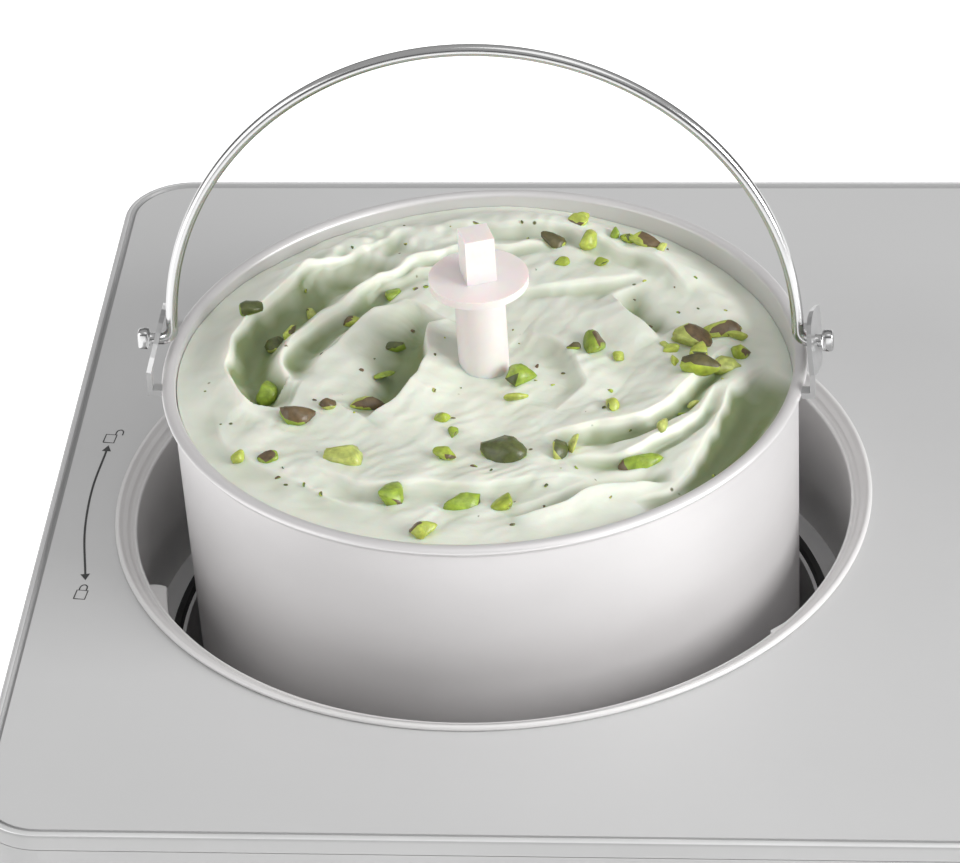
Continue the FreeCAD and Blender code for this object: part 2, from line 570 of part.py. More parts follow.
def make_lines():
    """Copper lines between the compressor, the condenser, the drier and the well."""
    node(shaped(tube([(118, -62, 161.4), (118, -62, 178), (118, 40, 178), (40, 40, 178), (40, 108, 178),
                      (40, 108, 130), (51.6, 108, 130)], 3, 5)), "discharge_line")
    node(shaped(tube([(-10.6, -6.3, 178), (16, -6.3, 178), (16, -18.5, 178), (16, -18.5, 128), (58.1, -18.5, 128),
                      (70.8, -27.7, 128)], 3, 5)), "suction_line")
    node(shaped(tube([(26, 60, 51.8), (26, 60, 44), (17, 60, 44), (17, -6.3, 44), (17, -6.3, 112), (-10.6, -6.3, 112)],
                     1.5, 4)), "capillary_tube")


# ---------------------------------------------------------------- controls and supply

def make_controls():
    """Touch-sized push buttons and a small display in a panel let into the right of the top plate."""
    x, y = "d.panel_x", "d.panel_y"
    facia = rounded_slab("d.panel_width", "d.panel_depth", "8", "1.2", x, y, "d.plate_top")
    core = block(x, y, "d.plate_top - 2", "d.panel_width - 6.4", "d.panel_depth - 6.4", "2.6")
    window = block(x, f"{y} + 11", "d.plate_top - 10", "60", "20", "20")
    places = [(f"{x} + {step} * 32", f"{y} - 13") for step in (-1, 0, 1)]
    wells = [disc(bx, by, "d.plate_top - 10", "d.button_radius + 0.4", "20") for bx, by in places]
    node(cut(join(facia, core), window, *wells), "control_panel")
    node(block(x, f"{y} + 11", "d.plate_top - 1.2", "59.8", "19.8", "2.2"), "display_lens")
    node(block(x, f"{y} + 11", "d.plate_top - 7.9", "54", "17", "6.4"), "display_module")
    for (bx, by), name in zip(places, ("power_button", "time_button", "start_button")):
        button = turned([
            ("0", "-5.2"), ("2", "-5.2"), ("2", "-4"), ("d.button_radius + 1.8", "-4"),
            ("d.button_radius + 1.8", "-2.4"), ("d.button_radius", "-2.4"), ("d.button_radius", "2"),
            ("d.button_radius - 0.6", "2.6"), ("0", "2.6")], bx, by, "d.plate_top")
        node(button, name)
    board = block(x, y, "d.plate_top - 9.6", "114", "44", "1.6")
    switches = [block(bx, by, "d.plate_top - 8", "6", "6", "1.6") for bx, by in places]
    posts = [disc(f"{x} + {sx} * 53", f"{y} + {sy} * 18", "d.plate_top - 8", "2.5", "6")
             for sx in (-1, 1) for sy in (-1, 1)]
    node(join(board, *switches, *posts), "control_board")


def make_supply():
    """Mains inlet in the back of the shell, with its pins, and the supply board behind the well."""
    back = "d.case_depth / 2"
    flange = block("-150", f"{back} - 0.9", "30", "36", "1.8", "28.4")
    boss = block("-150", f"{back} - 9", "34.1", "28.2", "18", "20.2")
    cavity = block("-150", f"{back} - 5", "36.2", "24", "20", "16")
    node(cut(join(flange, boss), cavity), "mains_inlet")
    pins = [block(f"-150 + {7 * column}", f"{back} - 9", 42.5 + row, "2", "12", "5")
            for column, row in ((-1, 0), (0, 3), (1, 0))]
    node(join(*pins), "inlet_pins")
    board = block("-60", "120", "34", "84", "1.6", "56")
    blocks = [block("-82", "128.9", "44", "26", "16", "30"), block("-48", "126.9", "50", "20", "12", "20")]
    cans = [disc("-28", "120.9", z, "5", "12", LIE_ALONG_Y) for z in ("46", "60", "74")]
    node(join(board, *blocks, *cans), "supply_board")


def check_and_export():
    """Recompute, stop at anything that failed, and write one STEP file for each sub-part."""
    doc.recompute()
    broken = [o.Name for o in doc.Objects if {"Invalid", "Error"} & set(o.State)]
    broken += [n.Label for n in nodes if n.Shape.isNull() or not n.Shape.isValid() or n.Shape.Volume <= 0]
    if broken:
        raise RuntimeError(f"failed: {broken}")
    os.makedirs("parts", exist_ok=True)
    for item in nodes:
        item.Shape.exportStep(f"parts/{item.Label}.step")
    print(f"{len(nodes)} sub-parts")


make_casing()
make_well()
make_gear_train()
make_gearbox()
make_motor()
make_bucket()
make_dasher()
make_compressor()
make_condenser()
make_lines()
make_controls()
make_supply()
check_and_export()
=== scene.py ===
"""Looks of the ice cream maker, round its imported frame. Lengths are in millimetres until MM turns them."""
import json
import math
import random

import bmesh
import bpy
import numpy as np
from mathutils import Matrix, Vector, noise


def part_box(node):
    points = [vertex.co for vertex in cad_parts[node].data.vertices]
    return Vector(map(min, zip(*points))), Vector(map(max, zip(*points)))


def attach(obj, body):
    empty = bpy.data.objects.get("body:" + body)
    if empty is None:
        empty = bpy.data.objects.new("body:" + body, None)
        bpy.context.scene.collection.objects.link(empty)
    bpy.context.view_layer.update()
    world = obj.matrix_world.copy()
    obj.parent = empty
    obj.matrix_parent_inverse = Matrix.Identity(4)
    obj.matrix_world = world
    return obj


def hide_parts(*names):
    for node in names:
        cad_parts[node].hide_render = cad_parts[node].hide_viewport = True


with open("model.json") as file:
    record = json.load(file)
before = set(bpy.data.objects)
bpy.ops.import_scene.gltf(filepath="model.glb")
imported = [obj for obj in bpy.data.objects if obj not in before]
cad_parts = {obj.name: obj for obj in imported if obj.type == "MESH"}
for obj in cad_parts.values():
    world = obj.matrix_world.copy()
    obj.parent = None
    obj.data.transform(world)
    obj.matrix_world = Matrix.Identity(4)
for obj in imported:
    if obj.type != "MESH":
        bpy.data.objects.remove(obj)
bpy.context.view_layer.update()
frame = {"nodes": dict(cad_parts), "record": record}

MM = 0.001

collar_low, collar_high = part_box("well_collar")
bucket_low, bucket_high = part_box("bucket_shell")
plate_low, plate_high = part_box("top_plate")
trim_low, trim_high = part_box("top_trim")
bail_low, bail_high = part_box("bail_handle")
WELL_X = (collar_low.x + collar_high.x) / 2
WELL_Y = (bucket_low.y + bucket_high.y) / 2
PLATE_Z = plate_high.z
RIM_Z = bucket_high.z
RIM_RADIUS = (bucket_high.x - bucket_low.x) / 2 / MM
COLLAR_RADIUS = (collar_high.x - collar_low.x) / 2 / MM


# ---------------------------------------------------------------- meshes

def new_object(name, data):
    """Link an object made from mesh or curve data."""
    item = bpy.data.objects.new(name, data)
    bpy.context.scene.collection.objects.link(item)
    return item


def mesh_object(name, points, faces, smooth=True):
    """An object from points in metres and faces."""
    data = bpy.data.meshes.new(name)
    data.from_pydata([tuple(p) for p in points], [], faces)
    data.update()
    bm = bmesh.new()
    bm.from_mesh(data)
    bmesh.ops.recalc_face_normals(bm, faces=bm.faces)
    bm.to_mesh(data)
    bm.free()
    data.shade_smooth() if smooth else data.shade_flat()
    return new_object(name, data)


def arc(centre, radius, start, end, steps=8):
    """Points of an arc in the profile plane, angles in degrees."""
    angles = [math.radians(start + (end - start) * i / steps) for i in range(steps + 1)]
    return [(centre[0] + radius * math.cos(a), centre[1] + radius * math.sin(a)) for a in angles]


def rounded(points, radius, steps=5):
    """A closed outline with each corner turned into a small arc."""
    result = []
    count = len(points)
    for i, corner in enumerate(points):
        here = Vector(corner)
        before = Vector(points[i - 1]) - here
        after = Vector(points[(i + 1) % count]) - here
        cutback = min(radius, 0.45 * before.length, 0.45 * after.length)
        first = here + before.normalized() * cutback
        last = here + after.normalized() * cutback
        for step in range(steps + 1):
            t = step / steps
            result.append(tuple(first * (1 - t) ** 2 + here * 2 * t * (1 - t) + last * t ** 2))
    return result


def lathe(name, profile, base_z, steps=240):
    """A closed profile of (radius, height) turned about the well's axis; base_z in metres."""
    count = len(profile)
    points, faces = [], []
    for step in range(steps):
        angle = math.tau * step / steps
        for r, z in profile:
            points.append((WELL_X + r * MM * math.cos(angle), WELL_Y + r * MM * math.sin(angle),
                           base_z + z * MM))
    for step in range(steps):
        following = (step + 1) % steps
        for i in range(count):
            j = (i + 1) % count
            faces.append((step * count + i, following * count + i, following * count + j, step * count + j))
    return mesh_object(name, points, faces)


def swept(name, path, sections, closed=False):
    """A skin over one section per path point; each section is a list of points in metres."""
    count = len(sections[0])
    points = [p for section in sections for p in section]
    faces = []
    rings = len(path)
    for ring in range(rings if closed else rings - 1):
        following = (ring + 1) % rings
        for i in range(count):
            j = (i + 1) % count
            faces.append((ring * count + i, ring * count + j, following * count + j, following * count + i))
    if not closed:
        faces.append(tuple(range(count))[::-1])
        faces.append(tuple((rings - 1) * count + i for i in range(count)))
    return mesh_object(name, points, faces)


def spline(points, steps=40):
    """Even samples of a Catmull-Rom curve through the points."""
    knots = [np.array(p, float) for p in points]
    knots = [2 * knots[0] - knots[1]] + knots + [2 * knots[-1] - knots[-2]]
    samples = []
    spans = len(knots) - 3
    for step in range(steps + 1):
        place = min(step / steps * spans, spans - 1e-6)
        i = int(place)
        t = place - i
        a, b, c, d = knots[i:i + 4]
        samples.append(0.5 * (2 * b + (c - a) * t + (2 * a - 5 * b + 4 * c - d) * t ** 2
                              + (3 * b - a - 3 * c + d) * t ** 3))
    return np.array(samples)


def bevelled(item, width, segments=3, angle=35):
    """Soften an object's edges without changing its mesh."""
    bevel = item.modifiers.new("Soft edges", "BEVEL")
    bevel.width = width * MM
    bevel.segments = segments
    bevel.limit_method = "ANGLE"
    bevel.angle_limit = math.radians(angle)
    return item


# ---------------------------------------------------------------- materials

def material(name, colour, roughness, metallic=0.0, **sockets):
    """A Principled material; extra sockets are given by name with underscores for spaces."""
    made = bpy.data.materials.new(name)
    made.use_nodes = True
    shader = made.node_tree.nodes["Principled BSDF"]
    shader.inputs["Base Color"].default_value = (*colour, 1)
    shader.inputs["Roughness"].default_value = roughness
    shader.inputs["Metallic"].default_value = metallic
    for socket, number in sockets.items():
        shader.inputs[socket.replace("_", " ")].default_value = number
    return made


def object_coordinates(made, stretch=(1, 1, 1)):
    """Object-space coordinates in metres, stretched along each axis."""
    tree = made.node_tree
    place = tree.nodes.new("ShaderNodeTexCoord")
    scale = tree.nodes.new("ShaderNodeMapping")
    scale.inputs["Scale"].default_value = stretch
    tree.links.new(place.outputs["Object"], scale.inputs["Vector"])
    return scale.outputs["Vector"]


def noise_texture(made, scale, detail=4.0, stretch=(1, 1, 1)):
    """A noise factor in object space."""
    texture = made.node_tree.nodes.new("ShaderNodeTexNoise")
    texture.inputs["Scale"].default_value = scale
    texture.inputs["Detail"].default_value = detail
    made.node_tree.links.new(object_coordinates(made, stretch), texture.inputs["Vector"])
    return texture.outputs["Fac"]


def ramp(made, factor, low, high, positions=(0.3, 0.7)):
    """A two-colour ramp over a factor."""
    node = made.node_tree.nodes.new("ShaderNodeValToRGB")
    node.color_ramp.elements[0].position, node.color_ramp.elements[1].position = positions
    node.color_ramp.elements[0].color = (*low, 1)
    node.color_ramp.elements[1].color = (*high, 1)
    made.node_tree.links.new(factor, node.inputs["Fac"])
    return node.outputs["Color"]


def vary_colour(made, low, high, scale, stretch=(1, 1, 1), detail=4.0):
    """Drift the base colour between two tones."""
    shader = made.node_tree.nodes["Principled BSDF"]
    colour = ramp(made, noise_texture(made, scale, detail, stretch), low, high)
    made.node_tree.links.new(colour, shader.inputs["Base Color"])
    return made


def vary_roughness(made, low, high, scale, stretch=(1, 1, 1)):
    """Drift the roughness between two values."""
    shader = made.node_tree.nodes["Principled BSDF"]
    spread = made.node_tree.nodes.new("ShaderNodeMapRange")
    spread.inputs["To Min"].default_value = low
    spread.inputs["To Max"].default_value = high
    made.node_tree.links.new(noise_texture(made, scale, 4.0, stretch), spread.inputs["Value"])
    made.node_tree.links.new(spread.outputs["Result"], shader.inputs["Roughness"])
    return made


def bump(made, scale, strength, depth, stretch=(1, 1, 1), detail=4.0):
    """Raise fine noise; depth in millimetres."""
    shader = made.node_tree.nodes["Principled BSDF"]
    node = made.node_tree.nodes.new("ShaderNodeBump")
    node.inputs["Strength"].default_value = strength
    node.inputs["Distance"].default_value = depth * MM
    made.node_tree.links.new(noise_texture(made, scale, detail, stretch), node.inputs["Height"])
    made.node_tree.links.new(node.outputs["Normal"], shader.inputs["Normal"])
    return made


def grey(level):
    return (level, level, level)


def brushed_plate():
    """Satin steel with a very fine grain along X."""
    made = material("brushed_plate", grey(0.60), 0.46, 0.15, Specular_IOR_Level=0.35)
    vary_colour(made, grey(0.585), grey(0.61), 9)
    vary_roughness(made, 0.44, 0.54, 60, (0.15, 6, 1))
    return bump(made, 900, 0.05, 0.02, (0.04, 1, 1))


def painted_case():
    made = material("painted_case", grey(0.36), 0.42, 0.0, Coat_Weight=0.2, Coat_Roughness=0.3)
    vary_colour(made, grey(0.345), grey(0.37), 14)
    return bump(made, 700, 0.06, 0.05)


def bright_trim():
    made = material("bright_trim", grey(0.66), 0.32, 0.3)
    vary_colour(made, grey(0.63), grey(0.70), 30)
    return bump(made, 800, 0.04, 0.03)


def moulded_collar():
    made = material("moulded_collar", (0.53, 0.53, 0.53), 0.33, 0.1, Coat_Weight=0.25, Coat_Roughness=0.2)
    vary_colour(made, (0.70, 0.69, 0.685), (0.75, 0.74, 0.735), 20)
    return bump(made, 500, 0.04, 0.04)


def satin_aluminium():
    """Spun aluminium: a faint ring grain and slow tone changes."""
    made = material("satin_aluminium", (0.68, 0.67, 0.66), 0.42, 0.4)
    vary_colour(made, (0.66, 0.645, 0.645), (0.70, 0.685, 0.685), 18, (1, 1, 2))
    vary_roughness(made, 0.38, 0.48, 90, (0.3, 0.3, 5))
    return bump(made, 1400, 0.07, 0.02, (0.05, 0.05, 1))


def well_aluminium():
    made = material("well_aluminium", grey(0.84), 0.42, 0.25)
    vary_colour(made, grey(0.80), grey(0.88), 25)
    return bump(made, 900, 0.06, 0.03)


def polished_wire():
    made = material("polished_wire", grey(0.56), 0.18, 1.0)
    vary_roughness(made, 0.12, 0.24, 220)
    return bump(made, 1500, 0.04, 0.01)


def stamped_steel():
    made = material("stamped_steel", (0.74, 0.73, 0.72), 0.3, 0.85)
    vary_colour(made, grey(0.55), grey(0.64), 120)
    return bump(made, 1500, 0.06, 0.02)


def milky_plastic():
    """Translucent natural polymer, faintly pink."""
    made = material("milky_plastic", (0.86, 0.80, 0.78), 0.3, Coat_Weight=0.15, Coat_Roughness=0.15,
                    Subsurface_Weight=0.55, Subsurface_Scale=0.004)
    vary_colour(made, (0.77, 0.725, 0.715), (0.83, 0.79, 0.775), 60)
    return bump(made, 600, 0.05, 0.05)


def churned_cream():
    """Pistachio ice cream: pale, soft to light, darker and greener in its hollows and creases as painted
    shade and lighter on its crests as painted highlight, with crumbs and fine bubbles.
    """
    made = material("churned_cream", (0.74, 0.78, 0.67), 0.42, Specular_IOR_Level=0.45,
                    Subsurface_Weight=0.35, Subsurface_Scale=0.0025, Coat_Weight=0.2, Coat_Roughness=0.22)
    tree = made.node_tree
    shader = tree.nodes["Principled BSDF"]
    # Painted shade and highlight: the "fold" attribute darkens the hollows and creases and lightens the
    # crests.
    painted_fold_shade = tree.nodes.new("ShaderNodeAttribute")
    painted_fold_shade.attribute_name = "fold"
    tone = ramp(made, painted_fold_shade.outputs["Fac"], (0.25, 0.30, 0.15), (0.77, 0.79, 0.70), (0.12, 0.86))
    crumbs = tree.nodes.new("ShaderNodeTexVoronoi")
    crumbs.inputs["Scale"].default_value = 190
    tree.links.new(object_coordinates(made), crumbs.inputs["Vector"])
    gate = tree.nodes.new("ShaderNodeMath")
    gate.operation = "GREATER_THAN"
    gate.inputs[1].default_value = 0.60
    tree.links.new(noise_texture(made, 85, 2.0), gate.inputs[0])
    dots = ramp(made, crumbs.outputs["Distance"], grey(1), grey(0), (0.06, 0.12))
    speck = tree.nodes.new("ShaderNodeMath")
    speck.operation = "MULTIPLY"
    tree.links.new(dots, speck.inputs[0])
    tree.links.new(gate.outputs[0], speck.inputs[1])
    mix = tree.nodes.new("ShaderNodeMix")
    mix.data_type = "RGBA"
    tree.links.new(speck.outputs[0], mix.inputs["Factor"])
    tree.links.new(tone, mix.inputs["A"])
    mix.inputs["B"].default_value = (0.12, 0.13, 0.04, 1)
    tree.links.new(mix.outputs["Result"], shader.inputs["Base Color"])
    return bump(made, 420, 0.25, 0.25, detail=6)


def chopped_nut():
    """Pistachio flesh and skin, from the piece's own colours."""
    made = material("chopped_nut", (0.3, 0.4, 0.06), 0.42, 0.0, Coat_Weight=0.25, Coat_Roughness=0.25,
                    Subsurface_Weight=0.12, Subsurface_Scale=0.0015)
    tree = made.node_tree
    shader = tree.nodes["Principled BSDF"]
    own = tree.nodes.new("ShaderNodeAttribute")
    own.attribute_name = "nut"
    shade = ramp(made, noise_texture(made, 520, 5.0), grey(0.45), grey(1.25), (0.25, 0.75))
    mix = tree.nodes.new("ShaderNodeMix")
    mix.data_type = "RGBA"
    mix.blend_type = "MULTIPLY"
    mix.inputs["Factor"].default_value = 0.8
    tree.links.new(own.outputs["Color"], mix.inputs["A"])
    tree.links.new(shade, mix.inputs["B"])
    tree.links.new(mix.outputs["Result"], shader.inputs["Base Color"])
    return bump(made, 700, 0.5, 0.4, detail=6)


def printed_ink():
    made = material("printed_ink", grey(0.035), 0.45)
    return vary_colour(made, grey(0.03), grey(0.05), 400)


def plain(name, low, high, roughness, metallic=0.0, scale=60, grain=600, strength=0.08, **sockets):
    """A two-tone material with a fine grain, for the simpler parts."""
    made = material(name, low, roughness, metallic, **sockets)
    vary_colour(made, low, high, scale)
    return bump(made, grain, strength, 0.05)


def slot_materials():
    """One material for each slot of the record."""
    return {
        "shell_paint": painted_case(),
        "trim_metal": bright_trim(),
        "top_steel": brushed_plate(),
        "collar_plastic": moulded_collar(),
        "rubber": plain("black_rubber", grey(0.02), grey(0.035), 0.7),
        "well_aluminium": well_aluminium(),
        "bucket_aluminium": satin_aluminium(),
        "ear_steel": stamped_steel(),
        "wire_steel": polished_wire(),
        "dasher_plastic": milky_plastic(),
        "ice_cream": churned_cream(),
        "spindle_steel": plain("turned_steel", grey(0.55), grey(0.65), 0.28, 1.0, grain=1500),
        "acetal": plain("acetal", (0.80, 0.80, 0.77), (0.86, 0.86, 0.83), 0.4),
        "bronze": plain("sintered_bronze", (0.45, 0.27, 0.12), (0.58, 0.36, 0.17), 0.45, 1.0, grain=2500),
        "copper": plain("drawn_copper", (0.60, 0.26, 0.14), (0.72, 0.36, 0.20), 0.3, 1.0, scale=90),
        "foam": plain("foam", (0.72, 0.62, 0.40), (0.80, 0.72, 0.50), 0.9, grain=900, strength=0.4),
        "zinc_steel": plain("zinc_steel", grey(0.42), grey(0.62), 0.4, 1.0, scale=140),
        "black_paint": plain("black_paint", grey(0.012), grey(0.02), 0.35, Coat_Weight=0.4),
        "core_iron": plain("cast_iron", grey(0.10), grey(0.16), 0.6, 1.0, grain=900, strength=0.4),
        "fin_aluminium": plain("fin_aluminium", grey(0.65), grey(0.75), 0.35, 1.0),
        "black_plastic": plain("black_plastic", grey(0.018), grey(0.028), 0.5, grain=1200, strength=0.2),
        "facia_plastic": plain("facia_plastic", grey(0.012), grey(0.018), 0.38, grain=300, strength=0.02),
        "button_plastic": plain("button_plastic", grey(0.55), grey(0.60), 0.32),
        "lens": plain("smoked_lens", (0.015, 0.02, 0.022), (0.02, 0.026, 0.03), 0.06, strength=0.01,
                      Coat_Weight=0.8),
        "board": plain("solder_mask", (0.015, 0.10, 0.035), (0.02, 0.13, 0.05), 0.4),
        "probe_metal": plain("plated_metal", (0.60, 0.48, 0.24), (0.70, 0.58, 0.32), 0.3, 1.0),
    }


MATERIALS = slot_materials()
for part in frame["record"]["subparts"]:
    cad_mesh = frame["nodes"][part["node"]].data
    cad_mesh.materials.clear()
    cad_mesh.materials.append(MATERIALS[part["material_slot"]])


def dress(item, slot, body, *nodes):
    """Give a piece its material and body, and hide the CAD nodes it stands for."""
    item.data.materials.clear()
    item.data.materials.append(MATERIALS[slot])
    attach(item, body)
    if nodes:
        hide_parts(*nodes)
    return item


# ---------------------------------------------------------------- casing and collar

def rounded_rectangle(half_width, half_depth, radius, steps=14):
    """Points and outward directions round a rounded rectangle, in millimetres."""
    path = []
    for corner, (sx, sy) in enumerate(((1, 1), (-1, 1), (-1, -1), (1, -1))):
        centre = Vector((sx * (half_width - radius), sy * (half_depth - radius)))
        for step in range(steps + 1):
            angle = math.radians(90 * corner + 90 * step / steps)
            outward = Vector((math.cos(angle), math.sin(angle)))
            path.append((centre + outward * radius, outward))
    return path


def framed(name, profile, slot_name, *nodes):
    """A closed profile of (inset, height) carried round the casing's top edge."""
    half_width = (trim_high.x - trim_low.x) / 2 / MM
    half_depth = (trim_high.y - trim_low.y) / 2 / MM
    path = rounded_rectangle(half_width, half_depth, 17.0)
    sections = []
    for place, outward in path:
        sections.append([((place.x - outward.x * inset) * MM, (place.y - outward.y * inset) * MM,
                          trim_low.z + rise * MM) for inset, rise in profile])
    return dress(swept(name, path, sections, closed=True), slot_name, "housing", *nodes)


def make_trim():
    """Frame round the plate: a band in the case's paint with a thin bright line along its top edge."""
    height = (trim_high.z - trim_low.z) / MM
    band = rounded([(0, 0), (0, height - 0.8), (0.7, height - 0.1), (1.9, height - 0.1), (2.3, height - 1.0),
                    (3.0, height - 1.2), (8, height - 1.9), (8, 0)], 0.4, 4)
    frame_band = framed("trim_frame", band, "trim_metal", "top_trim")
    frame_band.data.materials[0] = MATERIALS["shell_paint"]
    line = rounded([(0.25, height - 1.0), (0.35, height - 0.25), (1.0, height), (1.6, height - 0.05),
                    (1.9, height - 0.6)], 0.25, 3)
    framed("trim_line", line, "trim_metal")


COLLAR_WALL = 89.5
LUG_STARTS = (79, 199, 326)


def make_collar():
    """Moulded collar: rolled outer bead, sloping band, soft inner edge and a plain wall with lid lugs."""
    wall = COLLAR_WALL
    outer = COLLAR_RADIUS
    profile = [(wall + 2.2, 0.0), (outer - 1.0, 0.0)] + arc((outer - 0.75, 0.75), 0.75, -60, 130, 8)
    profile += [(outer - 1.6, 0.75), (outer - 2.2, 0.35), (outer - 2.9, 0.08), (outer - 3.5, -0.5)]
    profile += [(wall + 1.2, -1.2)]
    profile += arc((wall + 0.75, -1.55), 0.6, 65, 175, 5)
    profile += [(wall + 0.1, -2.4), (wall, -4), (wall, -20), (wall, -40), (wall + 2.2, -40)]
    dress(lathe("collar", profile, PLATE_Z, 320), "collar_plastic", "housing", "well_collar")
    for number, start in enumerate(LUG_STARTS, start=1):
        make_lug(f"lid_lug_{number}", start, wall)


def make_lug(name, start, wall):
    """A wedge in the collar that the lid hooks under: deep and rounded at one end, faded at the other."""
    sweep, reach, top, height = 14.0, 5.3, -6.0, 5.0
    steps = 36
    sections = []
    for step in range(steps + 1):
        t = step / steps
        angle = math.radians(start + sweep * t)
        depth = 0.15 + reach * (1 - t) * min(1.0, t * 9) ** 0.5
        outline = rounded([(wall + 0.5, top), (wall - depth, top), (wall - depth, top - height),
                           (wall + 0.5, top - height)], 0.6, 3)
        sections.append([(WELL_X + r * MM * math.cos(angle), WELL_Y + r * MM * math.sin(angle),
                          PLATE_Z + z * MM) for r, z in outline])
    dress(swept(name, sections, sections), "collar_plastic", "housing")


# ---------------------------------------------------------------- printed mark

def stroke(points, width):
    """Corner points of a flat ribbon along a line of points, in millimetres."""
    left, right = [], []
    for i, point in enumerate(points):
        here = Vector(point)
        before = Vector(points[max(i - 1, 0)])
        after = Vector(points[min(i + 1, len(points) - 1)])
        along = (after - before).normalized()
        across = Vector((-along.y, along.x)) * width / 2
        left.append(here + across)
        right.append(here - across)
    return left + right[::-1]


def inked(name, outlines):
    """Thin printed shapes on the plate; each outline is a flat polygon strip round the well's centre."""
    points, faces = [], []
    for outline in outlines:
        half = len(outline) // 2
        start = len(points)
        for level in (0.005, 0.045):
            points += [(WELL_X + p.x * MM, WELL_Y + p.y * MM, PLATE_Z + level * MM) for p in outline]
        count = len(outline)
        for i in range(half - 1):
            quad = (i, i + 1, count - 2 - i, count - 1 - i)
            faces.append(tuple(start + q for q in quad[::-1]))
            faces.append(tuple(start + count + q for q in quad))
        for i in range(count):
            j = (i + 1) % count
            faces.append((start + i, start + j, start + count + j, start + count + i))
    return dress(mesh_object(name, points, faces, smooth=False), "rubber", "housing")


def padlock(centre, turn, is_open):
    """Outlines of a small padlock: a square body and a shackle that is shut or swung aside."""
    def place(x, y):
        return centre + Matrix.Rotation(math.radians(turn), 2) @ Vector((x, y))
    body = [place(*p) for p in ((-1.4, -2.2), (1.4, -2.2), (1.4, 1.4), (-1.4, 1.4), (-1.4, -2.2))]
    shift = 1.9 if is_open else 0.0
    shackle = [place(shift + 0.9 * math.cos(a), 2.4 + 1.3 * math.sin(a))
               for a in (math.pi * i / 8 for i in range(9))]
    return [stroke(body, 0.32), stroke([place(shift + 0.9, 1.4)] + shackle + [place(shift - 0.9, 1.4)], 0.32)]


def make_lock_mark():
    """Turn-to-lock mark at the left of the well: a two-headed arc between an open and a shut padlock."""
    path = [Vector(p) for p in spline([(-101.2, 20), (-102.4, 3), (-101.6, -15), (-98.8, -33)], 30)]
    outlines = [stroke(path, 0.55)]
    for end, before in ((path[0], path[1]), (path[-1], path[-2])):
        along = (end - before).normalized()
        across = Vector((-along.y, along.x))
        tip = end + along * 2.6
        outlines.append([tip, end + across * 1.2, end - across * 1.2, tip - across * 0.01])
    outlines += padlock(Vector((-101.0, 26.0)), -6, True) + padlock(Vector((-98.6, -41.2)), -6, False)
    mark = inked("lock_mark", outlines)
    mark.data.materials[0] = printed_ink()


# ---------------------------------------------------------------- bucket

def make_bucket():
    """Spun bucket: rolled rim, gently tapered wall with a rounded foot, and its floor."""
    height = (bucket_high.z - bucket_low.z) / MM
    top, foot, gauge, bead = 77.5, 75.5, 1.2, 1.8
    centre = (RIM_RADIUS - bead, height - bead)
    profile = [(9.0, 0.0), (foot - 8, 0.0)] + arc((foot - 7, 7), 7, -80, 0, 8)
    profile += [(foot + 0.65, height * 0.33), (foot + 1.3, height * 0.66), (top - 0.1, height - 4.0)]
    profile += [(centre[0] + 1.7 * math.cos(a), height - 1.15 + 1.15 * math.sin(a))
                for a in (math.radians(-120 + 15 * step) for step in range(21))]
    profile += [(top - gauge - 0.1, height - 5.0), (foot + 1.3 - gauge, height * 0.66),
                (foot + 0.65 - gauge, height * 0.33)]
    profile += arc((foot - 7, 7), 7 - gauge, 0, -80, 8)
    profile += [(9.0, gauge)]
    dress(lathe("bucket", profile, bucket_low.z, 360), "bucket_aluminium", "bucket", "bucket_shell")


def make_bail():
    """Round wire bent outward through both ears, each end pressed into a small flat head."""
    wire, radius, tip, bend = 1.5, 77.4, 86.2, 3.0
    pivot_behind, pivot_above, lean_back = 2.5, 4.5, 7.8
    pivot = Vector((WELL_X / MM, WELL_Y / MM + pivot_behind, RIM_Z / MM + pivot_above))
    lean = Matrix.Rotation(math.radians(-lean_back), 3, "X")
    # Stations of the head: distance in from the tip, half height and half depth.
    head = [(0.0, 1.5, 0.9), (0.12, 2.1, 1.5), (0.5, 2.45, 1.8), (1.6, 2.5, 1.8), (2.5, 2.4, 1.8),
            (2.85, 2.0, 1.6), (3.0, wire, wire), (4.0, wire, wire)]
    half = [(Vector((tip - inset, 0, 0)), tall, deep) for inset, tall, deep in head]
    for step in range(9):
        angle = math.pi / 2 * step / 8
        place = Vector((radius + bend - bend * math.sin(angle), 0, bend - bend * math.cos(angle)))
        half.append((place, wire, wire))
    steps = 64
    for step in range(1, steps + 1):
        angle = math.pi / 2 * step / steps
        place = Vector((radius * math.cos(angle), 0, bend + (radius - bend) * math.sin(angle)))
        half.append((place, wire, wire))
    stations = half + [(Vector((-p.x, 0, p.z)), tall, deep) for p, tall, deep in reversed(half[:-1])]
    sections = []
    for i, (point, tall, deep) in enumerate(stations):
        along = (stations[min(i + 1, len(stations) - 1)][0] - stations[max(i - 1, 0)][0]).normalized()
        side = Vector((0, 1, 0))
        up = side.cross(along).normalized()
        ring = []
        for step in range(24):
            angle = math.tau * step / 24
            square = 0.45 if tall > wire * 1.2 else 1.0
            across = [math.copysign(abs(v) ** square, v) for v in (math.cos(angle), math.sin(angle))]
            ring.append((pivot + lean @ (point + up * tall * across[0] + side * deep * across[1])) * MM)
        sections.append(ring)
    bevelled(dress(swept("bail", sections, sections), "wire_steel", "bail", "bail_handle"), 0.2, 2, 50)


# ---------------------------------------------------------------- ice cream

CREAM_RADIUS = 76.1
# Edge of the cream below the rim, in millimetres, every 45 degrees from the right-hand side anticlockwise.
EDGE_DEPTH = [9.0, 6.5, 3.2, 4.0, 2.2, 1.2, 1.0, 3.0]
